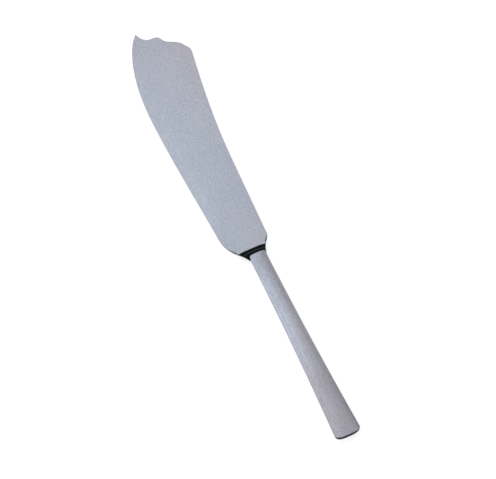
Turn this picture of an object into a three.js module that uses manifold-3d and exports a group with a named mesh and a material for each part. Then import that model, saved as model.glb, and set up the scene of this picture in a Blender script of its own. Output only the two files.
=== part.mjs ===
// Cake knife: a notched blade on a tang, a black neck collar and a hollow handle of two half shells.
// Millimetres. X runs from the butt to the tip, +Y is the cutting edge and +Z the front of the knife.
// The pieces are laid out from the butt along the handle's axis, then set down on the plane z = 0.

import * as THREE from 'three';
import { mergeVertices } from 'three/addons/utils/BufferGeometryUtils.js';
import Module from 'manifold-3d';

// Handle
const HANDLE_LENGTH = 114.45;
const BUTT_WIDTH = 14.7;
const BUTT_THICKNESS = 3.9;
const MOUTH_WIDTH = 9.7;
const MOUTH_THICKNESS = 5.8;
const SECTION_POWER = 2.6;
const SHELL_WALL = 0.7;
const SEAM_GAP = 0.06;
const BUTT_ROUND = 4;
const BUTT_POWER = 3.3;

// Clearance between a shell and what sits in it or beside it, and round the tang
const FIT_GAP = 0.25;

// Neck collar: a web flares from the handle's flanks to the blade's shoulders, and a boss rises to
// the mouth. The ears are the stretch of the web beside the handle.
const COLLAR_LENGTH = 3.75;
const WEB_THICKNESS = 4;
const WEB_POWER = 2.2;
const BOSS_THICKNESS = 5.3;
const SPIGOT_LENGTH = 3.5;
const SPIGOT_ROOT = 0.3;
const SHOULDER_EDGE = 9.6;
const SHOULDER_SPINE = 6.95;
const EAR_EDGE = 3.2;
const EAR_SPINE = 4;
const FLARE_POWER_EDGE = 1.45;
const FLARE_POWER_SPINE = 2.05;

// Blade plate
const BLADE_LENGTH = 151.8;
const BLADE_THICKNESS = 1.6;
const EDGE_THICKNESS = 1;
const GRIND_WIDTH = 6;
const GRIND_RUNOUT = 9;

// Cutting edge: heel and belly, forward from the shoulders and out from the axis
const HEEL_EDGE_X = 13.8;
const HEEL_EDGE_Y = 15.45;
const HEEL_EDGE_SLOPE = 0.057;
const BELLY_X = 98;
const BELLY_Y = 19.35;

// Spine: heel and bend, forward from the shoulders, and the slope with which it reaches the corner
const HEEL_SPINE_X = 5.45;
const HEEL_SPINE_Y = 10.1;
const SPINE_BEND_X = 56.7;
const SPINE_BEND_Y = 11.85;
const CORNER_SLOPE = 0.173;

// Lengths of the tangents that shape the long curves
const HEEL_EDGE_PULL = 4.55;
const HEEL_SPINE_PULL = 2.1;
const EDGE_PULL = 35.4;
const BELLY_PULL = 25.2;
const SPIKE_PULL = 7.9;
const SPINE_PULL = 22.7;

// Notched end from the spine's corner to the spike: back from the tip, and out from the axis
const NOTCHED_END = [
  [24.2, -19.8],
  [21.65, -19.7],
  [19.65, -18.65],
  [18.4, -17.8],
  [15.9, -16],
  [14.35, -14.05],
  [12.8, -11.05],
  [10.9, -8.15],
  [7.55, -6.1],
  [6.5, -3.7],
  [6.45, -0.35],
  [5.05, 2.4],
  [3, 4],
  [1.05, 4.85],
  [0.15, 5.1],
  [0, 5.3],
  [0.15, 5.55],
];

// Tang, back from the shoulders and thinner than the plate, with pairs of round notches that key it
const TANG_LENGTH = 62;
const TANG_WIDTH = 5.6;
const TANG_THICKNESS = 1.3;
const TANG_END_RADIUS = 1.5;
const KEY_RADIUS = 1.2;
const KEY_BACK = 24;
const KEY_PITCH = 18;
const KEY_PAIRS = 2;

// Cement past the tang's end, and the plug in the butt
const CEMENT_COVER = 4;
const PLUG_LENGTH = 6;
const PLUG_RECESS = 0.15;

// Fineness of round forms, how near points count as one, and how far a cutting shape overreaches
const SECTION_STEPS = 40;
const STATION_PITCH = 8;
const COLLAR_STEPS = 12;
const CURVE_STEPS = 16;
const END_STEPS = 64;
const MERGE_DISTANCE = 1e-5;
const CUT_MARGIN = 2;

const MOUTH_X = HANDLE_LENGTH;
const SHOULDER_X = MOUTH_X + COLLAR_LENGTH;
const TIP_X = SHOULDER_X + BLADE_LENGTH;
const SPIGOT_END_X = MOUTH_X - SPIGOT_LENGTH;
const TANG_END_X = SHOULDER_X - TANG_LENGTH;

const STEEL = { color: 0xaeb3bd, roughness: 0.42, metalness: 1 };
const BLACK_RESIN = { color: 0x121316, roughness: 0.45, metalness: 0 };
const CEMENT = { color: 0x9a9488, roughness: 0.95, metalness: 0 };

const { lerp, clamp } = THREE.MathUtils;
const wasm = await Module();
wasm.setup();

function indexedGeometry(positions, triangles) {
  const geometry = new THREE.BufferGeometry();
  geometry.setAttribute('position', new THREE.Float32BufferAttribute(positions, 3));
  geometry.setIndex(triangles);
  geometry.computeVertexNormals();
  return geometry;
}

// A geometry as a solid that can be joined and cut, and back
function solidOf(geometry) {
  geometry.deleteAttribute('normal');
  geometry.deleteAttribute('uv');
  const merged = mergeVertices(geometry, MERGE_DISTANCE);
  return new wasm.Manifold(new wasm.Mesh({
    numProp: 3,
    vertProperties: new Float32Array(merged.attributes.position.array),
    triVerts: new Uint32Array(merged.index.array),
  }));
}

function geometryOf(solid) {
  const mesh = solid.getMesh();
  return indexedGeometry(Array.from(mesh.vertProperties), Array.from(mesh.triVerts));
}

// A closed body through convex rings of [x, y, z] points that turn anticlockwise seen from the last ring
function loft(rings) {
  const count = rings[0].length;
  const last = rings.length - 1;
  const at = (ring, point) => ring * count + (point % count);
  const triangles = [];
  for (let ring = 0; ring < last; ring += 1) {
    for (let point = 0; point < count; point += 1) {
      triangles.push(at(ring, point), at(ring, point + 1), at(ring + 1, point + 1));
      triangles.push(at(ring, point), at(ring + 1, point + 1), at(ring + 1, point));
    }
  }
  for (let point = 1; point < count - 1; point += 1) {
    triangles.push(at(0, 0), at(0, point + 1), at(0, point));
    triangles.push(at(last, 0), at(last, point), at(last, point + 1));
  }
  return solidOf(indexedGeometry(rings.flat(2), triangles));
}

// An upright prism of an outline
function prism(shape, fromZ, toZ) {
  const settings = { depth: toZ - fromZ, bevelEnabled: false, curveSegments: CURVE_STEPS };
  const geometry = new THREE.ExtrudeGeometry(shape, settings);
  geometry.translate(0, 0, fromZ);
  return solidOf(geometry);
}

// One ring of a rounded, slightly boxy section: a superellipse with a half width of its own on each side
function section(x, edgeWidth, spineWidth, thickness, power) {
  const ring = [];
  for (let step = 0; step < SECTION_STEPS; step += 1) {
    const angle = (2 * Math.PI * step) / SECTION_STEPS;
    const across = Math.cos(angle);
    const up = Math.sin(angle);
    const width = across > 0 ? edgeWidth : spineWidth;
    const y = Math.sign(across) * width * Math.abs(across) ** (2 / power);
    const z = Math.sign(up) * (thickness / 2) * Math.abs(up) ** (2 / power);
    ring.push([x, y, z]);
  }
  return ring;
}

// The handle's form: it widens towards the butt with the square of the way back, and thins evenly
function handleHalfWidth(x) {
  const back = (MOUTH_X - x) / HANDLE_LENGTH;
  return lerp(MOUTH_WIDTH, BUTT_WIDTH, back ** 2) / 2;
}

function handleBody(fromX, toX, inset) {
  const steps = Math.max(1, Math.ceil((toX - fromX) / STATION_PITCH));
  const rings = [];
  for (let step = 0; step <= steps; step += 1) {
    const x = lerp(fromX, toX, step / steps);
    const halfWidth = handleHalfWidth(x) - inset;
    const thickness = lerp(BUTT_THICKNESS, MOUTH_THICKNESS, x / HANDLE_LENGTH) - 2 * inset;
    rings.push(section(x, halfWidth, halfWidth, thickness, SECTION_POWER));
  }
  return loft(rings);
}

// What lies ahead of the butt's rounded plan, with that plan set in by a recess
function buttTrim(recess) {
  const halfWidth = BUTT_WIDTH / 2;
  const reach = halfWidth + CUT_MARGIN;
  const roundX = recess + BUTT_ROUND;
  const shape = new THREE.Shape();
  shape.moveTo(TIP_X, reach);
  shape.lineTo(roundX, reach);
  for (let step = 0; step <= SECTION_STEPS; step += 1) {
    const angle = Math.PI * (1 / 2 - step / SECTION_STEPS);
    const along = Math.max(0, Math.cos(angle)) ** (2 / BUTT_POWER);
    const across = Math.sign(angle) * Math.abs(Math.sin(angle)) ** (2 / BUTT_POWER);
    shape.lineTo(roundX - BUTT_ROUND * along, halfWidth * across);
  }
  shape.lineTo(roundX, -reach);
  shape.lineTo(TIP_X, -reach);
  const height = MOUTH_THICKNESS + BUTT_THICKNESS;
  return prism(shape, -height, height);
}

// One half of the handle: side is 1 for the front and -1 for the back
function halfShell(side) {
  const reach = BUTT_WIDTH + CUT_MARGIN;
  const height = MOUTH_THICKNESS + BUTT_THICKNESS;
  const halfSpace = new THREE.Shape([
    new THREE.Vector2(-reach, -reach),
    new THREE.Vector2(TIP_X, -reach),
    new THREE.Vector2(TIP_X, reach),
    new THREE.Vector2(-reach, reach),
  ]);
  const seam = SEAM_GAP / 2;
  const half = side > 0 ? prism(halfSpace, seam, height) : prism(halfSpace, -height, -seam);
  const hollow = handleBody(-2 * CUT_MARGIN, MOUTH_X + CUT_MARGIN, SHELL_WALL);
  return handleBody(-CUT_MARGIN, MOUTH_X, 0).subtract(hollow).intersect(half).intersect(buttTrim(0));
}

function buttPlug() {
  return handleBody(-CUT_MARGIN, PLUG_LENGTH, SHELL_WALL + FIT_GAP).intersect(buttTrim(PLUG_RECESS));
}

// The tang as a body that starts inside the plate, grown by a clearance round its outline. With the
// clearance it is the tang's room in the collar and the cement, which lie close on its flat faces.
function tangBody(grow) {
  const startX = SHOULDER_X + CUT_MARGIN;
  const half = TANG_WIDTH / 2 + grow;
  const corner = TANG_END_RADIUS + grow;
  const cornerX = TANG_END_X - grow + corner;
  const key = KEY_RADIUS - grow;
  const keyPlaces = [];
  for (let pair = 0; pair < KEY_PAIRS; pair += 1) {
    keyPlaces.push(SHOULDER_X - KEY_BACK - pair * KEY_PITCH);
  }
  const shape = new THREE.Shape();
  shape.moveTo(startX, -half);
  shape.lineTo(startX, half);
  for (const keyX of keyPlaces) {
    shape.absarc(keyX, half, key, 0, Math.PI, true);
  }
  shape.absarc(cornerX, half - corner, corner, Math.PI / 2, Math.PI, false);
  shape.absarc(cornerX, corner - half, corner, Math.PI, 1.5 * Math.PI, false);
  for (const keyX of keyPlaces.reverse()) {
    shape.absarc(keyX, -half, key, Math.PI, 0, true);
  }
  return prism(shape, -TANG_THICKNESS / 2, TANG_THICKNESS / 2);
}

function tangCement() {
  const body = handleBody(TANG_END_X - CEMENT_COVER, SPIGOT_END_X - FIT_GAP, SHELL_WALL + FIT_GAP);
  return body.subtract(tangBody(FIT_GAP));
}

// One flank of the neck: how far it stands out at x, and its slope where it meets the blade's shoulder
function flareWidth(x, ear, shoulder, power) {
  const along = clamp((x - MOUTH_X + ear) / (ear + COLLAR_LENGTH), 0, 1);
  return lerp(MOUTH_WIDTH / 2, shoulder, along ** power);
}

function flareSlope(ear, shoulder, power) {
  return ((shoulder - MOUTH_WIDTH / 2) * power) / (ear + COLLAR_LENGTH);
}

function collarWeb() {
  const startX = MOUTH_X - Math.max(EAR_EDGE, EAR_SPINE);
  const rings = [];
  for (let step = 0; step <= COLLAR_STEPS; step += 1) {
    const x = lerp(startX, SHOULDER_X, step / COLLAR_STEPS);
    const edge = flareWidth(x, EAR_EDGE, SHOULDER_EDGE, FLARE_POWER_EDGE);
    const spine = flareWidth(x, EAR_SPINE, SHOULDER_SPINE, FLARE_POWER_SPINE);
    rings.push(section(x, edge, spine, WEB_THICKNESS, WEB_POWER));
  }
  return loft(rings);
}

// The boss sinks from the mouth in a hollow curve to the web's thickness at the blade
function collarBoss() {
  const rings = [];
  for (let step = 0; step <= COLLAR_STEPS; step += 1) {
    const along = step / COLLAR_STEPS;
    const edge = lerp(MOUTH_WIDTH / 2, SHOULDER_EDGE, along);
    const spine = lerp(MOUTH_WIDTH / 2, SHOULDER_SPINE, along);
    const thickness = lerp(WEB_THICKNESS, BOSS_THICKNESS, (1 - along) ** 2);
    rings.push(section(MOUTH_X + along * COLLAR_LENGTH, edge, spine, thickness, SECTION_POWER));
  }
  return loft(rings);
}

function neckCollar() {
  const handleRoom = handleBody(-CUT_MARGIN, MOUTH_X, -FIT_GAP);
  const spigot = handleBody(SPIGOT_END_X, MOUTH_X + SPIGOT_ROOT, SHELL_WALL + FIT_GAP);
  const body = collarWeb().subtract(handleRoom).add(collarBoss()).add(spigot);
  return body.subtract(tangBody(FIT_GAP));
}

// Places on the blade: forward from the shoulders, or back from the spike's tip
const fore = (forward, y) => [SHOULDER_X + forward, y];
const aft = (back, y) => [TIP_X - back, y];

// The cutting edge, from the spike along the belly to the heel
function drawCuttingEdge(path) {
  const [spikeBack, spikeY] = NOTCHED_END.at(-1);
  path.bezierCurveTo(...aft(spikeBack + SPIKE_PULL, spikeY + SPIKE_PULL),
    ...fore(BELLY_X + BELLY_PULL, BELLY_Y), ...fore(BELLY_X, BELLY_Y));
  path.bezierCurveTo(...fore(BELLY_X - BELLY_PULL, BELLY_Y),
    ...fore(HEEL_EDGE_X + EDGE_PULL, HEEL_EDGE_Y + HEEL_EDGE_SLOPE * EDGE_PULL),
    ...fore(HEEL_EDGE_X, HEEL_EDGE_Y));
}

// The plate: spine, notched end, cutting edge and shoulders
function plateShape() {
  const [cornerBack, cornerY] = NOTCHED_END[0];
  const spineSlope = (SPINE_BEND_Y - HEEL_SPINE_Y) / (SPINE_BEND_X - HEEL_SPINE_X);
  const spineFlare = flareSlope(EAR_SPINE, SHOULDER_SPINE, FLARE_POWER_SPINE);
  const edgeFlare = flareSlope(EAR_EDGE, SHOULDER_EDGE, FLARE_POWER_EDGE);
  const shape = new THREE.Shape();
  shape.moveTo(...fore(0, -SHOULDER_SPINE));
  shape.bezierCurveTo(...fore(HEEL_SPINE_PULL, -SHOULDER_SPINE - spineFlare * HEEL_SPINE_PULL),
    ...fore(HEEL_SPINE_X - HEEL_SPINE_PULL, -HEEL_SPINE_Y + spineSlope * HEEL_SPINE_PULL),
    ...fore(HEEL_SPINE_X, -HEEL_SPINE_Y));
  shape.lineTo(...fore(SPINE_BEND_X, -SPINE_BEND_Y));
  shape.bezierCurveTo(...fore(SPINE_BEND_X + SPINE_PULL, -SPINE_BEND_Y - spineSlope * SPINE_PULL),
    ...aft(cornerBack + SPINE_PULL, cornerY + CORNER_SLOPE * SPINE_PULL), ...aft(cornerBack, cornerY));
  const end = new THREE.SplineCurve(NOTCHED_END.map(([back, y]) => new THREE.Vector2(...aft(back, y))));
  for (const point of end.getPoints(END_STEPS)) {
    shape.lineTo(point.x, point.y);
  }
  drawCuttingEdge(shape);
  shape.bezierCurveTo(...fore(HEEL_EDGE_X - HEEL_EDGE_PULL, HEEL_EDGE_Y - HEEL_EDGE_SLOPE * HEEL_EDGE_PULL),
    ...fore(HEEL_EDGE_PULL, SHOULDER_EDGE + edgeFlare * HEEL_EDGE_PULL), ...fore(0, SHOULDER_EDGE));
  return shape;
}

// What the grinding takes off one face along the cutting edge: side is 1 for the front and -1 for the back.
// The ground face runs out at the heel and passes the spike.
function grinding(side) {
  const edge = new THREE.Path();
  edge.moveTo(...aft(...NOTCHED_END.at(-1)));
  drawCuttingEdge(edge);
  const points = edge.getPoints(CURVE_STEPS);
  const start = points[0].clone().multiplyScalar(2).sub(points[1]);
  points.unshift(start);
  const half = BLADE_THICKNESS / 2;
  const depth = half - EDGE_THICKNESS / 2;
  const slope = depth / GRIND_WIDTH;
  const heelX = SHOULDER_X + HEEL_EDGE_X;
  const top = half + depth;
  const rings = points.map((point, index) => {
    const before = points[Math.max(0, index - 1)];
    const after = points[Math.min(points.length - 1, index + 1)];
    const along = after.clone().sub(before).normalize();
    const outward = new THREE.Vector2(along.y, -along.x);
    const edgeHeight = half - depth * clamp((point.x - heelX) / GRIND_RUNOUT, 0, 1);
    const place = (out, z) => [point.x + outward.x * out, point.y + outward.y * out, side * z];
    const ring = [
      place(CUT_MARGIN, edgeHeight - slope * CUT_MARGIN),
      place(CUT_MARGIN, top),
      place((edgeHeight - top) / slope, top),
    ];
    return side > 0 ? ring.reverse() : ring;
  });
  return loft(rings);
}

function blade() {
  const half = BLADE_THICKNESS / 2;
  const plate = prism(plateShape(), -half, half).subtract(grinding(1)).subtract(grinding(-1));
  return plate.add(tangBody(0));
}

const knife = new THREE.Group();

function addPiece(name, solid, look) {
  const mesh = new THREE.Mesh(geometryOf(solid), new THREE.MeshStandardMaterial(look));
  mesh.name = name;
  knife.add(mesh);
}

addPiece('blade', blade(), STEEL);
addPiece('neck_collar', neckCollar(), BLACK_RESIN);
addPiece('front_shell', halfShell(1), STEEL);
addPiece('back_shell', halfShell(-1), STEEL);
addPiece('tang_cement', tangCement(), CEMENT);
addPiece('butt_plug', buttPlug(), BLACK_RESIN);

// The origin is under the middle of the knife, on the plane that it lies on
const box = new THREE.Box3().setFromObject(knife, true);
const middle = box.getCenter(new THREE.Vector3());
knife.position.set(-middle.x, -middle.y, -box.min.z);

const part = new THREE.Group();
part.add(knife);

export default part;
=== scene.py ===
"""Cake knife of satin steel: a notched blade, a black neck collar, a hollow handle in two halves
and a black butt plug.

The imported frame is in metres. The pieces are worked out in millimetres, with x from the butt along
the handle's axis, y towards the cutting edge and z up from the blade's mid-plane, and `place` sets
them in the frame.
"""

import math

import bmesh
import bpy
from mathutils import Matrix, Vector
from mathutils.geometry import delaunay_2d_cdt

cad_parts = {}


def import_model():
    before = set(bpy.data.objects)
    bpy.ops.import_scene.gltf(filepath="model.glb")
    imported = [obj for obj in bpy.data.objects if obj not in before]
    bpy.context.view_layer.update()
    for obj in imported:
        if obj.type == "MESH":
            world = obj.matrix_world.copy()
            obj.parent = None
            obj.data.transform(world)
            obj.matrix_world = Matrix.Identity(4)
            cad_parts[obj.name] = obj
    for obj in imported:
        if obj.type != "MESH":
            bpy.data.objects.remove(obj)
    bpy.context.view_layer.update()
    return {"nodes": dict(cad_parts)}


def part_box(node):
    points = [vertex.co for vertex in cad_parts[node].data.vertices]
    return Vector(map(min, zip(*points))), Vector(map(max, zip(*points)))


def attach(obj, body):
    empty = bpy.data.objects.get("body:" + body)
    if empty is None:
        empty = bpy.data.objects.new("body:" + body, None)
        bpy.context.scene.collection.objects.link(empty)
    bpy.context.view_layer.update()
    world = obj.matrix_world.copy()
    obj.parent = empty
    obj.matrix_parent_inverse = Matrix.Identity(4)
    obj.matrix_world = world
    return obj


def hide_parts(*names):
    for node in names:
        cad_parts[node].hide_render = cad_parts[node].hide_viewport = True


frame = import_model()

MM = 0.001
TINY = 1e-6  # keeps a division from zero
ROUND_STEPS = 4  # in a rounded edge
SHARP_ANGLE = 40  # degrees, from which an edge stays crisp

# Lengths from the frame
shell_low, shell_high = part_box("front_shell")
blade_low, blade_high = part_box("blade")
ORIGIN = Vector((
    shell_low.x,
    (shell_low.y + shell_high.y) / 2,
    (blade_low.z + blade_high.z) / 2,
))
MOUTH_X = (shell_high.x - shell_low.x) / MM
SHOULDER_X = (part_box("neck_collar")[1].x - shell_low.x) / MM
TIP_X = (blade_high.x - shell_low.x) / MM
TANG_END_X = (blade_low.x - shell_low.x) / MM
BLADE_HALF = (blade_high.z - blade_low.z) / 2 / MM
MOUTH_THICKNESS = (shell_high.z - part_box("back_shell")[0].z) / MM

# Handle
BUTT_WIDTH = 14.7
BUTT_THICKNESS = 3.9
BUTT_ROUND = 4.0
BUTT_POWER = 3.3
BUTT_FADE = 10.0  # up to here the sections follow the butt's rounded plan
MOUTH_WIDTH = 9.7
TAPER_POWER = 2
SECTION_POWER = 2.6  # of the superellipse
SHELL_WALL = 0.7
SHEET_ROUND = 0.2
SEAM_GAP = 0.06
SEAM_LIP = 0.08
FIT_GAP = 0.25  # between pieces that fit into each other
BUTT_STATIONS = [0.5, 1, 1.6, 2.4, 3.4, 4.6, 6, 8, 10]
MIDDLE_START = 13.0
MIDDLE_END = 1.0  # before the mouth
MIDDLE_STEPS = 36
SHELL_STEPS = 72
PLAN_ROUNDS = 3  # of fitting a section to the butt's plan

# Painted shade and worn seams of the handle: how strong, as a share of one, and where
SEAM_WEAR = 0.6
MOUTH_PAINTED_SHADE = 0.12
MOUTH_FADE = 3.0
FLANK_PAINTED_SHADE = 0.25
FLANK_START = 0.82  # of the half width
SPINE_PAINTED_SHADE = 0.3
SPINE_START = 0.7
SPINE_WIDEN = 0.25  # at the mouth
SPINE_FADE = 8.0

# Butt plug: a black plug that stands in for the shade on the butt's end
PLUG_RECESS = 0.15
PLUG_LENGTH = 6.0
PLUG_ROUND = 0.3
PLUG_STATIONS = [0.9, 1.6, 2.4, 3.4, 4.6, PLUG_LENGTH]
PLUG_POINTS = 96

# Collar
WEB_THICKNESS = 4.0
WEB_POWER = 2.2
BOSS_THICKNESS = 5.3
BOSS_POWER = 2
BOSS_BLEND = 0.7
BOSS_GROOVE = 0.25
BOSS_RIDGE = 0.14
RIDGE_PLACE = 0.42  # these three are shares of the way from the mouth to the shoulders
RIDGE_WIDTH = 0.14
# how far the ridge's painted highlight spreads
RIDGE_HIGHLIGHT_WIDTH = 0.07
COLLAR_ROUND = 0.3
SPIGOT_LENGTH = 3.5
SPIGOT_ROOT = 0.3  # sunk into the boss
SHOULDER_EDGE = 9.6
SHOULDER_SPINE = 6.95
EAR_EDGE = 3.2
EAR_SPINE = 4.0
FLARE_POWER_EDGE = 1.45
FLARE_POWER_SPINE = 2.05
COLLAR_POINTS = 128
EAR_STEPS = 20
BOSS_STEPS = 36
CUT_STEPS = 12
CUT_MARGIN = 2.0  # how far a cut starts outside the piece
MOUTH_MARGIN = 0.01  # keeps a cut off the end that it runs along

# Blade
EDGE_THICKNESS = 1.0
GRIND_WIDTH = 6.0
GRIND_POWER = 2
GRIND_RUNOUT = 9.0
RIM = 0.16
RIM_BORDER = 1.3  # times the rim
# painted shade on the rims' sides, stronger round the heel
RIM_SHADE = 0.6
HEEL_RIM = 0.65
HEEL_RIM_START = 1.2
HEEL_RIM_FADE = 8.0
HEEL_SHADE = 0.9
SPIKE_RIM = 0.2  # times the rim
SPIKE_REACH = 1.0
MITRE_LIMIT = 0.6  # holds the inset back at sharp corners
HEEL_EDGE = (13.8, 15.45)  # on from the shoulders, out from the axis, as the next three are
BELLY = (98.0, 19.35)
HEEL_SPINE = (5.45, 10.1)
SPINE_BEND = (56.7, 11.85)
HEEL_EDGE_SLOPE = 0.057
CORNER_SLOPE = 0.173
HEEL_EDGE_PULL = 4.55
HEEL_SPINE_PULL = 2.1
EDGE_PULL = 35.4
BELLY_PULL = 25.2
SPIKE_PULL = 7.9
SPINE_PULL = 22.7
NOTCHED_END = [  # back from the tip, out from the axis
    (24.2, -19.8), (21.65, -19.7), (19.65, -18.65), (18.4, -17.8), (15.9, -16), (14.35, -14.05),
    (12.8, -11.05), (10.9, -8.15), (7.55, -6.1), (6.5, -3.7), (6.45, -0.35), (5.05, 2.4), (3, 4),
    (1.05, 4.85), (0.15, 5.1), (0, 5.3), (0.15, 5.55),
]
SPIKE = NOTCHED_END[-2]
HEEL_SPINE_STEPS = 20
SPINE_STEPS = 24
BACK_STEPS = 40
KNOT_STEPS = 8
BELLY_STEPS = 60
HEEL_EDGE_STEPS = 28
FACE_PITCH = 3.0
FACE_MARGIN = FACE_PITCH / 3
INSIDE_ONLY = 1  # the triangulation's kind of result
WELD = 1e-7  # points closer than this are one
TANG_HALF_WIDTH = 2.8
TANG_HALF = 0.65
TANG_END_RADIUS = 1.5
KEY_RADIUS = 1.2
KEY_PLACES = (24.0, 42.0)  # back from the shoulders
ARC_STEPS = 12

# Noises of the materials: cycles in a metre, detail, roughness
STEEL_CLOUD = (70, 3, 0.5)
STEEL_MOTTLE = (260, 2, 0.5)
STEEL_PATCH = (600, 2, 0.5)
STEEL_SPECK = (800, 2, 0.5)
STEEL_FINE = (2400, 2, 0.6)
STEEL_STREAK = (1, 3, 0.6)
STREAK_CYCLES = (90, 3200, 3200)  # in a metre along each axis
RESIN_CLOUD = (400, 2, 0.5)
RESIN_FINE = (4000, 2, 0.6)
CEMENT_GRAIN = (900, 5, 0.65)
USEFUL_LOW, USEFUL_HIGH = 0.3, 0.7  # a noise seldom leaves this range

# Painted spots on the steel, of sheen, highlight and shade: middle, reach
BLADE_PAINTED_SHEEN = ((184.77, 9.86), (114.94, 31.75))
NECK_PAINTED_SHEEN = ((104.41, 5.13), (74.07, 9.17))
GRIP_PAINTED_HIGHLIGHT = ((62.0, -2.46), (40.0, 22.22))
NECK_PAINTED_SHADE = ((105.99, 1.77), (14.08, 9.09))

# Steel
# the steel's own colour, turning cooler where the painted sheen lies
STEEL_AND_SHEEN_TINTS = (
    (0.0, (0.425, 0.420, 0.470)),
    (0.3, (0.430, 0.446, 0.521)),
    (0.55, (0.419, 0.448, 0.527)),
    (0.85, (0.418, 0.464, 0.534)),
)
STEEL_WORN = (0.56, 0.57, 0.60, 1.0)
# colour of the painted shade on rims, sheet ends, the mouth and flanks
STEEL_PAINTED_SHADE = (0.030, 0.034, 0.042, 1.0)
# how the painted sheen varies from place to place
SHEEN_CLOUD = (0.6, 1.4)
SHEEN_PATCH = 0.15
SPECK_SHADE = 0.10
FINE_SHADE = 0.08
MOTTLE_SHADE = 0.025
STREAK_SHADE = 0.012
# strength of the painted highlight on the grip and of the painted shade by the collar
GRIP_PAINTED_LIGHT = 0.06
NECK_SHADE = 0.075
WORN_SHARE = 0.3
STEEL_ROUGH = (0.40, 0.46)
STEEL_ROUGH_FINE = 0.03
STEEL_ROUGH_DULL = 0.12
STREAK_RELIEF = 0.6
STEEL_BUMP = (0.25, 0.02)  # strength, depth

# Resin and cement
RESIN_TINTS = (
    (USEFUL_LOW, (0.0015, 0.0021, 0.0030)),
    (USEFUL_HIGH, (0.0030, 0.0042, 0.0060)),
)
# colour of the painted highlight along the collar's ridge
RESIN_PAINTED_HIGHLIGHT = (0.034, 0.042, 0.058, 1.0)
RESIN_ROUGH = (0.42, 0.50)
RESIN_ROUGH_FINE = 0.04
RESIN_SPECULAR = 0.08
RESIN_BUMP = (0.3, 0.03)
CEMENT_TINTS = ((USEFUL_LOW, (0.42, 0.40, 0.36)), (USEFUL_HIGH, (0.62, 0.60, 0.55)))
CEMENT_ROUGH = 0.9
CEMENT_BUMP = (0.5, 0.1)

# Camera, in degrees and millimetres
AZIMUTH = 245.26
ELEVATION = 65.0
DISTANCE = 1018.6
TARGET = (124.6, 0.82)
LENS = 135
SENSOR = 36
CLIP_START = 10.0

# Floor and light, in metres
FLOOR_RADIUS = 3.0
FLOOR_POINTS = 96
FLOOR_COLOUR = (0.8, 0.8, 0.8, 1.0)
FLOOR_GLOW = 0.56
BACKDROP_ROUND = 0.3
BACKDROP_HEIGHT = 0.6
BACKDROP_STEPS = 8
WHITE = (1.0, 1.0, 1.0, 1.0)
WORLD_LIGHT = 0.6
LAMPS = (  # name, place to the right, away and up as the picture sees it, size, watts
    ("side", (-0.866, 0.0, 0.5), 0.7, 1.64),
    ("top", (-0.194, 0.194, 0.752), 0.4, 0.63),
    ("back", (0.0, 0.566, 0.566), 0.4, 0.29),
)


def place(x, y, z=0.0):
    """A place on the knife, in the frame."""
    return ORIGIN + Vector((x, y, z)) * MM


def lerp(a, b, t):
    return a + (b - a) * t


def spaced(low, high, steps):
    """Evenly spaced numbers from low to high, with both."""
    return [lerp(low, high, i / steps) for i in range(steps + 1)]


def clamp01(t):
    return min(1.0, max(0.0, t))


def smoothstep(t):
    t = clamp01(t)
    return t * t * (3 - 2 * t)


def beyond(start, share):
    """A smooth rise from 0 at the start to 1 at a share of one."""
    return smoothstep((share - start) / (1 - start))


def bell(offset, width):
    return math.exp(-((offset / width) ** 2))


def smooth_max(a, b, blend):
    """The larger number, rounded up where the two differ by less than blend."""
    near = max(0.0, blend - abs(a - b)) / max(blend, TINY)
    return max(a, b) + near * near * blend / 4


def superellipse(angle, exponent):
    """Across and up, each from -1 to 1."""
    return [
        math.copysign(abs(value) ** (2 / exponent), value)
        for value in (math.cos(angle), math.sin(angle))
    ]


def ring_angles(count):
    return [2 * math.pi * (i + 0.5) / count for i in range(count)]


def add_object(name, data):
    obj = bpy.data.objects.new(name, data)
    bpy.context.scene.collection.objects.link(obj)
    return obj


# Materials


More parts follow.
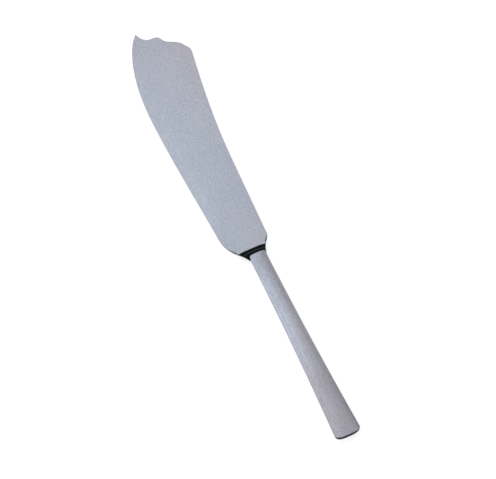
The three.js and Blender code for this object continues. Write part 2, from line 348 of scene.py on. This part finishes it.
class Nodes:
    """Adds shader nodes to a material or world and links them."""

    def __init__(self, owner):
        owner.use_nodes = True
        self.tree = owner.node_tree
        self.tree.nodes.clear()

    def add(self, kind, settings=None, **inputs):
        node = self.tree.nodes.new(kind)
        for key, value in (settings or {}).items():
            setattr(node, key, value)
        for key, value in inputs.items():
            self.put(node, key.replace("_", " "), value)
        return node

    def put(self, node, key, value):
        """Sets or links an input, by its name or number."""
        socket = node.inputs[key]
        if isinstance(value, bpy.types.NodeSocket):
            self.tree.links.new(value, socket)
        else:
            socket.default_value = value

    def math(self, operation, first, second):
        node = self.add("ShaderNodeMath", {"operation": operation})
        self.put(node, 0, first)
        self.put(node, 1, second)
        return node.outputs[0]

    def total(self, value, *others):
        for other in others:
            value = self.math("ADD", value, other)
        return value

    def noise(self, vector, scale, detail, roughness):
        node = self.add(
            "ShaderNodeTexNoise", Vector=vector, Scale=scale, Detail=detail, Roughness=roughness
        )
        return node.outputs["Fac"]

    def stretch(self, vector, factors, shift=(0.0, 0.0, 0.0)):
        node = self.add("ShaderNodeMapping", Vector=vector, Scale=factors, Location=shift)
        return node.outputs[0]

    def bloom(self, vector, middle, reach):
        """A soft spot on the knife: 1 at its middle, 0 at its reach and beyond."""
        centre = place(*middle)
        along, across = (1 / (length * MM) for length in reach)
        shift = (-centre.x * along, -centre.y * across, 0.0)
        spot = self.stretch(vector, (along, across, 0.0), shift)
        node = self.add("ShaderNodeTexGradient", {"gradient_type": "SPHERICAL"}, Vector=spot)
        return node.outputs["Fac"]

    def mark(self, name):
        """A number that the mesh has for each point."""
        return self.add("ShaderNodeAttribute", {"attribute_name": name}).outputs["Fac"]

    def ramp(self, factor, stops):
        node = self.add("ShaderNodeValToRGB", Fac=factor)
        elements = node.color_ramp.elements
        while len(elements) < len(stops):
            elements.new(0.5)
        for element, (position, colour) in zip(elements, stops):
            element.position = position
            element.color = (*colour, 1.0)
        return node.outputs["Color"]

    def blend(self, factor, first, second, mode="MIX"):
        settings = {"data_type": "RGBA", "blend_type": mode, "clamp_factor": True}
        node = self.add("ShaderNodeMix", settings)
        for number, value in ((0, factor), (6, first), (7, second)):  # the colours' own sockets
            self.put(node, number, value)
        return node.outputs[2]

    def spread(self, value, low, high):
        """A value's useful range, stretched to low..high."""
        node = self.add("ShaderNodeMapRange", {"clamp": True}, Value=value)
        for number, limit in enumerate((USEFUL_LOW, USEFUL_HIGH, low, high), 1):
            self.put(node, number, limit)
        return node.outputs[0]

    def vary(self, value, amount):
        return self.spread(value, -amount, amount)

    def surface(self, colour, rough, height, bump, **inputs):
        """The material's shader, with a bump of a strength and a depth."""
        strength, depth = bump
        normal = self.add("ShaderNodeBump", Strength=strength, Distance=depth * MM, Height=height)
        shader = self.add(
            "ShaderNodeBsdfPrincipled",
            Base_Color=colour,
            Roughness=rough,
            Normal=normal.outputs[0],
            **inputs,
        )
        self.add("ShaderNodeOutputMaterial", Surface=shader.outputs[0])


def new_material(name):
    """A material, its nodes and its places."""
    material = bpy.data.materials.new(name)
    nodes = Nodes(material)
    return material, nodes, nodes.add("ShaderNodeTexCoord").outputs["Object"]


def steel_material(name):
    material, nodes, where = new_material(name)
    cloud = nodes.noise(where, *STEEL_CLOUD)
    fine = nodes.noise(where, *STEEL_FINE)
    streak = nodes.noise(nodes.stretch(where, STREAK_CYCLES), *STEEL_STREAK)
    # painted reflection tint: the colour turns cooler over the blade's middle and the handle's neck
    cool = nodes.math(
        "MAXIMUM", nodes.bloom(where, *BLADE_PAINTED_SHEEN), nodes.bloom(where, *NECK_PAINTED_SHEEN)
    )
    cool = nodes.math("MULTIPLY", cool, nodes.spread(cloud, *SHEEN_CLOUD))
    cool = nodes.total(cool, nodes.vary(nodes.noise(where, *STEEL_PATCH), SHEEN_PATCH))
    tint = nodes.ramp(cool, STEEL_AND_SHEEN_TINTS)
    # a painted highlight brightens the handle's middle and painted shade darkens it by the collar
    shade = nodes.total(
        nodes.vary(nodes.noise(where, *STEEL_SPECK), SPECK_SHADE),
        nodes.vary(fine, FINE_SHADE),
        nodes.vary(nodes.noise(where, *STEEL_MOTTLE), MOTTLE_SHADE),
        nodes.vary(streak, STREAK_SHADE),
        nodes.spread(nodes.bloom(where, *GRIP_PAINTED_HIGHLIGHT), 0.0, GRIP_PAINTED_LIGHT),
    )
    # painted shade on the handle beside the collar
    neck = nodes.spread(nodes.bloom(where, *NECK_PAINTED_SHADE), 0.0, NECK_SHADE)
    level = nodes.total(nodes.math("SUBTRACT", shade, neck), 1.0)
    colour = nodes.blend(1.0, tint, level, "MULTIPLY")
    worn = nodes.math("MULTIPLY", nodes.mark("edge"), WORN_SHARE)
    colour = nodes.blend(worn, colour, STEEL_WORN)
    # the painted shade darkens rims, the handle's sheet ends, its mouth and flanks
    wall = nodes.mark("wall")
    colour = nodes.blend(wall, colour, STEEL_PAINTED_SHADE)
    rough = nodes.total(
        nodes.spread(cloud, *STEEL_ROUGH),
        nodes.vary(fine, STEEL_ROUGH_FINE),
        nodes.math("MULTIPLY", wall, STEEL_ROUGH_DULL),
    )
    relief = nodes.total(fine, nodes.math("MULTIPLY", streak, STREAK_RELIEF))
    nodes.surface(colour, rough, relief, STEEL_BUMP, Metallic=1.0)
    return material


def resin_material(name):
    material, nodes, where = new_material(name)
    cloud = nodes.noise(where, *RESIN_CLOUD)
    fine = nodes.noise(where, *RESIN_FINE)
    # the edge mark brings a painted highlight along the collar's ridge
    colour = nodes.blend(nodes.mark("edge"), nodes.ramp(cloud, RESIN_TINTS), RESIN_PAINTED_HIGHLIGHT)
    rough = nodes.total(nodes.spread(cloud, *RESIN_ROUGH), nodes.vary(fine, RESIN_ROUGH_FINE))
    nodes.surface(colour, rough, fine, RESIN_BUMP, Specular_IOR_Level=RESIN_SPECULAR)
    return material


def cement_material(name):
    material, nodes, where = new_material(name)
    grain = nodes.noise(where, *CEMENT_GRAIN)
    nodes.surface(nodes.ramp(grain, CEMENT_TINTS), CEMENT_ROUGH, grain, CEMENT_BUMP)
    return material


STEEL = steel_material("satin_steel")
RESIN = resin_material("black_resin")
CEMENT = cement_material("tang_cement")


# Meshes


def set_mark(mesh, name, values):
    mesh.attributes.new(name, "FLOAT", "POINT").data.foreach_set("value", values)


def make_object(name, points, faces, material, **marks):
    """A smooth-shaded mesh object with outward faces. Each mark is a number for each point."""
    mesh = bpy.data.meshes.new(name)
    mesh.from_pydata([place(*point) for point in points], [], faces)
    for mark, values in marks.items():
        set_mark(mesh, mark, values)
    shape = bmesh.new()
    shape.from_mesh(mesh)
    bmesh.ops.recalc_face_normals(shape, faces=shape.faces)
    for face in shape.faces:
        face.smooth = True
    shape.to_mesh(mesh)
    shape.free()
    mesh.materials.append(material)
    return add_object(name, mesh)


def mark_sharp(obj):
    obj.data.set_sharp_from_angle(angle=math.radians(SHARP_ANGLE))


def finish_piece(obj, node):
    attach(obj, "root")
    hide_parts(node)


def bands(rows, count):
    """Faces between rows of points, each of which closes on itself."""
    faces = []
    for start in range(0, (rows - 1) * count, count):
        for i in range(count):
            j = (i + 1) % count
            faces.append((start + i, start + j, start + count + j, start + count + i))
    return faces


def tube(rings):
    """Points and faces of a closed body. Its rings run there and back, point i facing -1 - i."""
    count = len(rings[0])
    points = [point for ring in rings for point in ring]
    faces = bands(len(rings), count)
    for start in (0, (len(rings) - 1) * count):
        for i in range(count // 2 - 1):
            faces.append((start + i, start + i + 1, start + count - 2 - i, start + count - 1 - i))
    return points, faces


def oval(x, edge, spine, thickness, exponent, count):
    """A superellipse ring with a half width of its own on each side."""
    ring = []
    for angle in ring_angles(count):
        across, up = superellipse(angle, exponent)
        ring.append((x, across * (edge if across > 0 else spine), up * thickness / 2))
    return ring


def rounding(radius):
    """(way along, inset) pairs from a rounded end inwards."""
    angles = spaced(math.pi / 2, 0, ROUND_STEPS)
    return [(radius * (1 - math.sin(a)), radius * (1 - math.cos(a))) for a in angles]


# Handle


def handle_half_width(x):
    return lerp(MOUTH_WIDTH, BUTT_WIDTH, ((MOUTH_X - x) / MOUTH_X) ** TAPER_POWER) / 2


def handle_thickness(x):
    return lerp(BUTT_THICKNESS, MOUTH_THICKNESS, x / MOUTH_X)


def butt_curve(y):
    share = clamp01(abs(y) / (BUTT_WIDTH / 2))
    return BUTT_ROUND * (1 - (1 - share**BUTT_POWER) ** (1 / BUTT_POWER))


def on_handle(station, across, up, inset, lip=0.0):
    """A point of the section at a station, which follows the butt's rounded plan near the end."""
    x = station
    for _ in range(PLAN_ROUNDS):
        y = across * (handle_half_width(x) - inset - lip)
        z = up * (handle_thickness(x) / 2 - inset)
        x = station + butt_curve(y) * (1 - smoothstep(station / BUTT_FADE))
    return x, y, z


def handle_stations():
    """(station, inset) pairs from the butt to the mouth, with both ends of the sheet rounded."""
    ends = rounding(SHEET_ROUND)
    middle = spaced(MIDDLE_START, MOUTH_X - MIDDLE_END, MIDDLE_STEPS)
    stations = ends + [(x, 0.0) for x in BUTT_STATIONS + middle]
    return stations + [(MOUTH_X - along, inset) for along, inset in reversed(ends)]


def shell_ring(station, inset, side):
    """One half shell's section: the outside from seam to seam and the inside back."""
    runs = []
    for depth, lip in ((inset, SEAM_LIP), (SHELL_WALL, 0.0)):
        run = []
        for k in range(-1, SHELL_STEPS + 2):
            at_seam = k in (-1, SHELL_STEPS + 1)
            angle = math.pi * min(max(k, 0), SHELL_STEPS) / SHELL_STEPS
            section = superellipse(angle, SECTION_POWER)
            x, y, z = on_handle(station, *section, depth, lip if at_seam else 0.0)
            low = SEAM_GAP / 2 + (0.0 if at_seam else SEAM_LIP)
            run.append((x, y, side * max(z, low)))
        runs.append(run)
    outside, inside = runs
    return outside + inside[::-1]


def handle_painted_shade(station, inset, x, y):
    """Painted shade at a place: on the sheet's rounded ends, by the mouth and along the flanks."""
    from_mouth = station - MOUTH_X
    end = (inset / SHEET_ROUND) ** 0.5
    mouth = MOUTH_PAINTED_SHADE * math.exp(from_mouth / MOUTH_FADE)
    share = y / handle_half_width(x)
    flank = FLANK_PAINTED_SHADE * (1 - station / MOUTH_X) * beyond(FLANK_START, abs(share))
    start = SPINE_START - SPINE_WIDEN * math.exp(from_mouth / SPINE_FADE)
    flank += SPINE_PAINTED_SHADE * beyond(start, -share)
    return max(end, mouth, flank)


def half_shell(name, side, node):
    stations = handle_stations()
    rings = [shell_ring(station, inset, side) for station, inset in stations]
    count = len(rings[0])
    seams = (0, count // 2 - 1)
    edge, wall = [], []
    for (station, inset), ring in zip(stations, rings):
        edge += [SEAM_WEAR if i in seams else 0.0 for i in range(count)]
        # painted shade on the sheet's ends, by the mouth and along the flanks
        wall += [handle_painted_shade(station, inset, x, y) for x, y, _ in ring]
    obj = make_object(name, *tube(rings), STEEL, edge=edge, wall=wall)
    mark_sharp(obj)
    finish_piece(obj, node)


def butt_plug():
    stations = [(PLUG_RECESS + along, drop) for along, drop in rounding(PLUG_ROUND)]
    stations += [(x, 0.0) for x in PLUG_STATIONS]
    section = [superellipse(angle, SECTION_POWER) for angle in ring_angles(PLUG_POINTS)]
    rings = []
    for station, drop in stations:
        inset = SHELL_WALL + FIT_GAP + drop
        rings.append([on_handle(station, across, up, inset) for across, up in section])
    # the black plug stands in for the shade on the butt's end
    obj = make_object("butt_shade_plug", *tube(rings), RESIN)
    mark_sharp(obj)
    finish_piece(obj, "butt_plug")


# Neck collar


def along_collar(x):
    """The share of the way from the handle's mouth to the shoulders."""
    return (x - MOUTH_X) / (SHOULDER_X - MOUTH_X)


def flare(x, ear, shoulder, exponent):
    along = clamp01((x - MOUTH_X + ear) / (ear + SHOULDER_X - MOUTH_X))
    return lerp(MOUTH_WIDTH / 2, shoulder, along**exponent)


def flare_slope(ear, shoulder, exponent):
    """The flare's slope where it meets the blade."""
    return (shoulder - MOUTH_WIDTH / 2) * exponent / (ear + SHOULDER_X - MOUTH_X)


def collar_ring(x, boss, drop=0.0):
    """The web's section, with the boss run into it where there is one. drop rounds the end off."""
    edge = flare(x, EAR_EDGE, SHOULDER_EDGE, FLARE_POWER_EDGE)
    spine = flare(x, EAR_SPINE, SHOULDER_SPINE, FLARE_POWER_SPINE)
    ring = oval(x, edge, spine, WEB_THICKNESS, WEB_POWER, COLLAR_POINTS)
    if not boss:
        return ring
    along = along_collar(x)
    height = lerp(WEB_THICKNESS, BOSS_THICKNESS, (1 - along) ** BOSS_POWER) / 2
    height += BOSS_RIDGE * bell(along - RIDGE_PLACE, RIDGE_WIDTH)
    height -= BOSS_GROOVE * (1 - smoothstep(along / RIDGE_PLACE))
    raised = []
    for _, y, z in ring:
        width = lerp(MOUTH_WIDTH / 2, SHOULDER_EDGE if y > 0 else SHOULDER_SPINE, along)
        share = clamp01(abs(y) / width)
        bulge = height * (1 - share**SECTION_POWER) ** (1 / SECTION_POWER)
        blend = BOSS_BLEND * clamp01(abs(z) / (WEB_THICKNESS / 2))
        top = smooth_max(abs(z), bulge, blend)
        top = min(top, max(BLADE_HALF, top - drop))
        raised.append((x, y, math.copysign(top, z)))
    return raised


def handle_like(name, low, high, grow):
    """A body with the handle's sections, grown all round."""
    rings = []
    for x in spaced(low, high, CUT_STEPS):
        width = handle_half_width(x) + grow
        thickness = handle_thickness(x) + 2 * grow
        rings.append(oval(x, width, width, thickness, SECTION_POWER, COLLAR_POINTS))
    return make_object(name, *tube(rings), RESIN)


def cut(obj, other, operation):
    """Joins or cuts obj with another object, which is used up."""
    modifier = obj.modifiers.new("cut", "BOOLEAN")
    modifier.operation = operation
    modifier.solver = "EXACT"
    modifier.object = other
    graph = bpy.context.evaluated_depsgraph_get()
    mesh = bpy.data.meshes.new_from_object(obj.evaluated_get(graph))
    obj.modifiers.clear()
    old = obj.data
    obj.data = mesh
    bpy.data.meshes.remove(old)
    bpy.data.objects.remove(other)


def neck_collar():
    start = MOUTH_X - max(EAR_EDGE, EAR_SPINE)
    rings = [collar_ring(x, False) for x in spaced(start, MOUTH_X, EAR_STEPS)]
    boss = spaced(MOUTH_X, SHOULDER_X - COLLAR_ROUND, BOSS_STEPS)[:-1]
    rings += [collar_ring(x, True) for x in boss]
    for along, drop in reversed(rounding(COLLAR_ROUND)):
        rings.append(collar_ring(SHOULDER_X - along, True, drop))
    obj = make_object("collar_moulding", *tube(rings), RESIN)

    room = handle_like("room", start - CUT_MARGIN, MOUTH_X - MOUTH_MARGIN, FIT_GAP)
    cut(obj, room, "DIFFERENCE")
    ends = (MOUTH_X - SPIGOT_LENGTH, MOUTH_X + SPIGOT_ROOT)
    cut(obj, handle_like("spigot", *ends, -SHELL_WALL - FIT_GAP), "UNION")
    half = TANG_HALF_WIDTH + FIT_GAP
    corners = (half, -TANG_HALF), (half, TANG_HALF), (-half, TANG_HALF), (-half, -TANG_HALF)
    ends = (start - CUT_MARGIN, SHOULDER_X + CUT_MARGIN)
    slot = [[(x, *corner) for corner in corners] for x in ends]
    cut(obj, make_object("slot", *tube(slot), RESIN), "DIFFERENCE")

    # a painted highlight along the ridge, carried by the edge mark
    ridge = []
    for vertex in obj.data.vertices:
        along = along_collar((vertex.co.x - ORIGIN.x) / MM)
        ridge.append(bell(along - RIDGE_PLACE, RIDGE_HIGHLIGHT_WIDTH))
    set_mark(obj.data, "edge", ridge)
    mark_sharp(obj)
    finish_piece(obj, "neck_collar")


# Blade


def cubic(p0, p1, p2, p3, steps):
    """Points of a cubic curve after its start."""
    points = []
    for i in range(1, steps + 1):
        t = i / steps
        weights = (1 - t) ** 3, 3 * t * (1 - t) ** 2, 3 * t * t * (1 - t), t**3
        points.append(tuple(
            sum(weight * q for weight, q in zip(weights, axis)) for axis in zip(p0, p1, p2, p3)
        ))
    return points


def spline(knots, steps):
    """Points of a smooth curve through the knots, after the first."""
    points = []
    for i in range(len(knots) - 1):
        p0, p1, p2, p3 = (knots[min(max(i + k, 0), len(knots) - 1)] for k in (-1, 0, 1, 2))
        for step in range(1, steps + 1):
            t = step / steps
            points.append(tuple(
                q1 + t * (q2 - q0) / 2
                + t * t * (q0 - 2.5 * q1 + 2 * q2 - 0.5 * q3)
                + t**3 * (1.5 * (q1 - q2) + (q3 - q0) / 2)
                for q0, q1, q2, q3 in zip(p0, p1, p2, p3)
            ))
    return points


def fore(forward, y):
    return SHOULDER_X + forward, y


def aft(back, y):
    return TIP_X - back, y


def blade_outline():
    """The plate's outline, anticlockwise from the spine's shoulder, and its cutting edge."""
    spine_slope = (SPINE_BEND[1] - HEEL_SPINE[1]) / (SPINE_BEND[0] - HEEL_SPINE[0])
    spine_flare = flare_slope(EAR_SPINE, SHOULDER_SPINE, FLARE_POWER_SPINE)
    edge_flare = flare_slope(EAR_EDGE, SHOULDER_EDGE, FLARE_POWER_EDGE)
    points = [fore(0, -SHOULDER_SPINE)]
    points += cubic(
        points[-1],
        fore(HEEL_SPINE_PULL, -SHOULDER_SPINE - spine_flare * HEEL_SPINE_PULL),
        fore(HEEL_SPINE[0] - HEEL_SPINE_PULL, -HEEL_SPINE[1] + spine_slope * HEEL_SPINE_PULL),
        fore(HEEL_SPINE[0], -HEEL_SPINE[1]),
        HEEL_SPINE_STEPS,
    )
    bend = fore(SPINE_BEND[0], -SPINE_BEND[1])
    points += list(zip(*(spaced(a, b, SPINE_STEPS) for a, b in zip(points[-1], bend))))[1:]
    back, y = NOTCHED_END[0]
    points += cubic(
        bend,
        fore(SPINE_BEND[0] + SPINE_PULL, -SPINE_BEND[1] - spine_slope * SPINE_PULL),
        aft(back + SPINE_PULL, y + CORNER_SLOPE * SPINE_PULL),
        aft(back, y),
        BACK_STEPS,
    )
    notches = spline([aft(*knot) for knot in NOTCHED_END], KNOT_STEPS)
    points += [(min(x, TIP_X), y) for x, y in notches]
    spike = len(points) - 1
    back, y = NOTCHED_END[-1]
    points += cubic(
        points[-1],
        aft(back + SPIKE_PULL, y + SPIKE_PULL),
        fore(BELLY[0] + BELLY_PULL, BELLY[1]),
        fore(*BELLY),
        BELLY_STEPS,
    )
    points += cubic(
        points[-1],
        fore(BELLY[0] - BELLY_PULL, BELLY[1]),
        fore(HEEL_EDGE[0] + EDGE_PULL, HEEL_EDGE[1] + HEEL_EDGE_SLOPE * EDGE_PULL),
        fore(*HEEL_EDGE),
        BELLY_STEPS,
    )
    heel = len(points)
    points += cubic(
        points[-1],
        fore(HEEL_EDGE[0] - HEEL_EDGE_PULL, HEEL_EDGE[1] - HEEL_EDGE_SLOPE * HEEL_EDGE_PULL),
        fore(HEEL_EDGE_PULL, SHOULDER_EDGE + edge_flare * HEEL_EDGE_PULL),
        fore(0, SHOULDER_EDGE),
        HEEL_EDGE_STEPS,
    )
    return points, points[spike:heel]


def arc(x, y, radius, start, end):
    """Points of an arc round a place. start and end are half turns."""
    turns = [turn * math.pi for turn in spaced(start, end, ARC_STEPS)]
    return [(x + radius * math.cos(a), y + radius * math.sin(a)) for a in turns]


def tang_outline():
    half = TANG_HALF_WIDTH
    keys = [SHOULDER_X - back for back in KEY_PLACES]
    corner = TANG_END_X + TANG_END_RADIUS
    points = [(SHOULDER_X, half)]
    for key in keys:
        points += arc(key, half, KEY_RADIUS, 0, -1)
    points += arc(corner, half - TANG_END_RADIUS, TANG_END_RADIUS, 0.5, 1)
    points += arc(corner, TANG_END_RADIUS - half, TANG_END_RADIUS, 1, 1.5)
    for key in reversed(keys):
        points += arc(key, -half, KEY_RADIUS, 1, 0)
    return points + [(SHOULDER_X, -half)]


def inward(outline):
    """For each point of an anticlockwise outline, the step that moves both its sides in by one."""
    steps = []
    count = len(outline)
    for i, here in enumerate(outline):
        sides = []
        for a, b in ((outline[i - 1], here), (here, outline[(i + 1) % count])):
            along = Vector((b[0] - a[0], b[1] - a[1])).normalized()
            sides.append(Vector((-along.y, along.x)))
        middle = (sides[0] + sides[1]).normalized()
        steps.append(middle / max(MITRE_LIMIT, middle.dot(sides[0])))
    return steps


def distance(x, y, line):
    """How far a place is from a line of points."""
    here = Vector((x, y))
    nearest = math.inf
    for a, b in zip(line, line[1:]):
        start, along = Vector(a), Vector(b) - Vector(a)
        share = clamp01((here - start).dot(along) / along.length_squared)
        nearest = min(nearest, (start + along * share - here).length)
    return nearest


def encloses(outline, x, y):
    """Whether a place is inside a closed outline."""
    odd = False
    for (x0, y0), (x1, y1) in zip(outline, outline[1:] + outline[:1]):
        if (y0 > y) != (y1 > y) and x < x0 + (y - y0) / (y1 - y0) * (x1 - x0):
            odd = not odd
    return odd


def face_of(outline):
    """A face's inner points and its triangles, which count the outline's points first."""
    low = [min(point[axis] for point in outline) for axis in (0, 1)]
    high = [max(point[axis] for point in outline) for axis in (0, 1)]
    columns, rows = (int((h - l) / FACE_PITCH) for l, h in zip(low, high))
    closed = outline + outline[:1]
    inner = []
    for i in range(1, columns):
        for j in range(1, rows):
            x = low[0] + (i + (j % 2) / 2) * FACE_PITCH
            y = low[1] + j * FACE_PITCH
            if encloses(outline, x, y) and distance(x, y, closed) > FACE_MARGIN:
                inner.append((x, y))
    places = [Vector(point) for point in outline + inner]
    count = len(outline)
    sides = [(i, (i + 1) % count) for i in range(count)]
    result = delaunay_2d_cdt(places, sides, [], INSIDE_ONLY, WELD)
    found, _, triangles, sources, _, _ = result
    first = [source[0] for source in sources]
    assert len(found) == len(places)
    return inner, [tuple(first[i] for i in triangle) for triangle in triangles]


def rim_profile(rim, half):
    """(inset, z) pairs from the upper face round the rim to the lower face."""
    profile = [(rim * RIM_BORDER, half)]
    profile += [(inset, half - drop) for inset, drop in reversed(rounding(rim))]
    return profile + [(inset, -z) for inset, z in reversed(profile)]


def plate(name, outline, height):
    """A plate with rounded rims, finer at the spike. height gives half its thickness at a place."""
    columns, shades = [], []
    for (x, y), step in zip(outline, inward(outline)):
        along = x - SHOULDER_X
        heel = smoothstep(along / HEEL_RIM_START) * smoothstep(1 - along / HEEL_RIM_FADE)
        from_spike = math.dist((x, y), aft(*SPIKE)) / SPIKE_REACH
        rim = lerp(RIM, HEEL_RIM, heel) * lerp(SPIKE_RIM, 1, clamp01(from_spike))
        profile = rim_profile(rim, height(x, y))
        columns.append([(x + step.x * inset, y + step.y * inset, z) for inset, z in profile])
        # along the spine's heel the painted shade takes in the rim's first row as well
        shades.append((HEEL_SHADE * heel, 0 if heel > 0 and y < 0 else 1))
    count, rows = len(columns), len(columns[0])
    points = [column[row] for row in range(rows) for column in columns]
    faces = bands(rows, count)
    # the rims' sides and the heel's rounding get painted shade
    edge, wall = [], []
    for row in range(rows):
        depth = min(row, rows - 1 - row)  # rows in from the face
        side = RIM_SHADE if depth > ROUND_STEPS else 0.0
        edge += [1.0 if depth > 0 else 0.0] * count
        wall += [max(side, shade) if depth > start else 0.0 for shade, start in shades]
    inner, triangles = face_of([point[:2] for point in points[:count]])
    for side, ring in ((1, 0), (-1, (rows - 1) * count)):
        start = len(points) - count
        points += [(x, y, side * height(x, y)) for x, y in inner]
        for triangle in triangles:
            faces.append(tuple(ring + i if i < count else start + i for i in triangle))
    unmarked = [0.0] * (2 * len(inner))
    return make_object(name, points, faces, STEEL, edge=edge + unmarked, wall=wall + unmarked)


def blade():
    outline, cutting_edge = blade_outline()

    def height(x, y):
        """Half the plate's thickness, which falls off towards the cutting edge."""
        depth = BLADE_HALF - EDGE_THICKNESS / 2
        share = clamp01(1 - distance(x, y, cutting_edge) / GRIND_WIDTH)
        runout = clamp01((x - SHOULDER_X - HEEL_EDGE[0]) / GRIND_RUNOUT)
        return BLADE_HALF - depth * share**GRIND_POWER * runout

    finish_piece(plate("blade_plate", outline, height), "blade")
    tang = plate("blade_tang", tang_outline(), lambda x, y: TANG_HALF)
    finish_piece(tang, "blade")


half_shell("handle_front", 1, "front_shell")
half_shell("handle_back", -1, "back_shell")
butt_plug()
neck_collar()
blade()

cement = frame["nodes"]["tang_cement"]
cement.data.materials.clear()
cement.data.materials.append(CEMENT)


# Floor, light and camera


def floor_material(name):
    """Matt paper with a glow that only the camera and reflections see."""
    material = bpy.data.materials.new(name)
    nodes = Nodes(material)
    path = nodes.add("ShaderNodeLightPath").outputs
    shown = nodes.math("MAXIMUM", path["Is Camera Ray"], path["Is Glossy Ray"])
    shown = nodes.math("MAXIMUM", shown, path["Is Transmission Ray"])
    strength = nodes.math("MULTIPLY", shown, FLOOR_GLOW)
    glow = nodes.add("ShaderNodeEmission", Color=WHITE, Strength=strength)
    paper = nodes.add("ShaderNodeBsdfDiffuse", Color=FLOOR_COLOUR)
    both = nodes.add("ShaderNodeAddShader")
    nodes.put(both, 0, glow.outputs[0])
    nodes.put(both, 1, paper.outputs[0])
    nodes.add("ShaderNodeOutputMaterial", Surface=both.outputs[0])
    return material


def floor():
    """A round floor whose rim turns up into a low backdrop."""
    profile = []
    for turn in spaced(0, math.pi / 2, BACKDROP_STEPS):
        radius = FLOOR_RADIUS + BACKDROP_ROUND * math.sin(turn)
        profile.append((radius, BACKDROP_ROUND * (1 - math.cos(turn))))
    profile.append((FLOOR_RADIUS + BACKDROP_ROUND, BACKDROP_HEIGHT))
    angles = [2 * math.pi * i / FLOOR_POINTS for i in range(FLOOR_POINTS)]
    points = [
        (radius * math.cos(angle), radius * math.sin(angle), height)
        for radius, height in profile
        for angle in angles
    ]
    faces = [tuple(range(FLOOR_POINTS))] + bands(len(profile), FLOOR_POINTS)
    mesh = bpy.data.meshes.new("floor")
    mesh.from_pydata(points, [], faces)
    mesh.materials.append(floor_material("floor"))
    add_object("floor", mesh)


def world():
    scene_world = bpy.data.worlds.new("studio")
    bpy.context.scene.world = scene_world
    nodes = Nodes(scene_world)
    light = nodes.add("ShaderNodeBackground", Color=WHITE, Strength=WORLD_LIGHT)
    nodes.add("ShaderNodeOutputWorld", Surface=light.outputs[0])


def stand(obj, spot, back):
    """Sets a lamp or camera at a spot, with its back this way."""
    obj.location = spot
    obj.rotation_mode = "QUATERNION"
    obj.rotation_quaternion = (-back).to_track_quat("-Z", "Y")


def softbox(name, spot, size, watts):
    """A square lamp that faces the knife."""
    lamp = bpy.data.lights.new(name, "AREA")
    lamp.shape = "SQUARE"
    lamp.size = size
    lamp.energy = watts
    right, away, up = spot
    a = math.radians(AZIMUTH)
    spot = Vector((
        right * math.cos(a) - away * math.sin(a),
        right * math.sin(a) + away * math.cos(a),
        up,
    ))
    stand(add_object(name, lamp), spot, spot)


def camera():
    data = bpy.data.cameras.new("camera")
    data.lens = LENS
    data.sensor_width = SENSOR
    data.clip_start = CLIP_START * MM
    obj = add_object("camera", data)
    a, e = math.radians(AZIMUTH), math.radians(ELEVATION)
    back = Vector((math.sin(a) * math.cos(e), -math.cos(a) * math.cos(e), math.sin(e)))
    stand(obj, place(*TARGET) + back * DISTANCE * MM, back)
    bpy.context.scene.camera = obj


floor()
world()
for lamp in LAMPS:
    softbox(*lamp)
camera()

bpy.context.scene.view_settings.view_transform = "Standard"
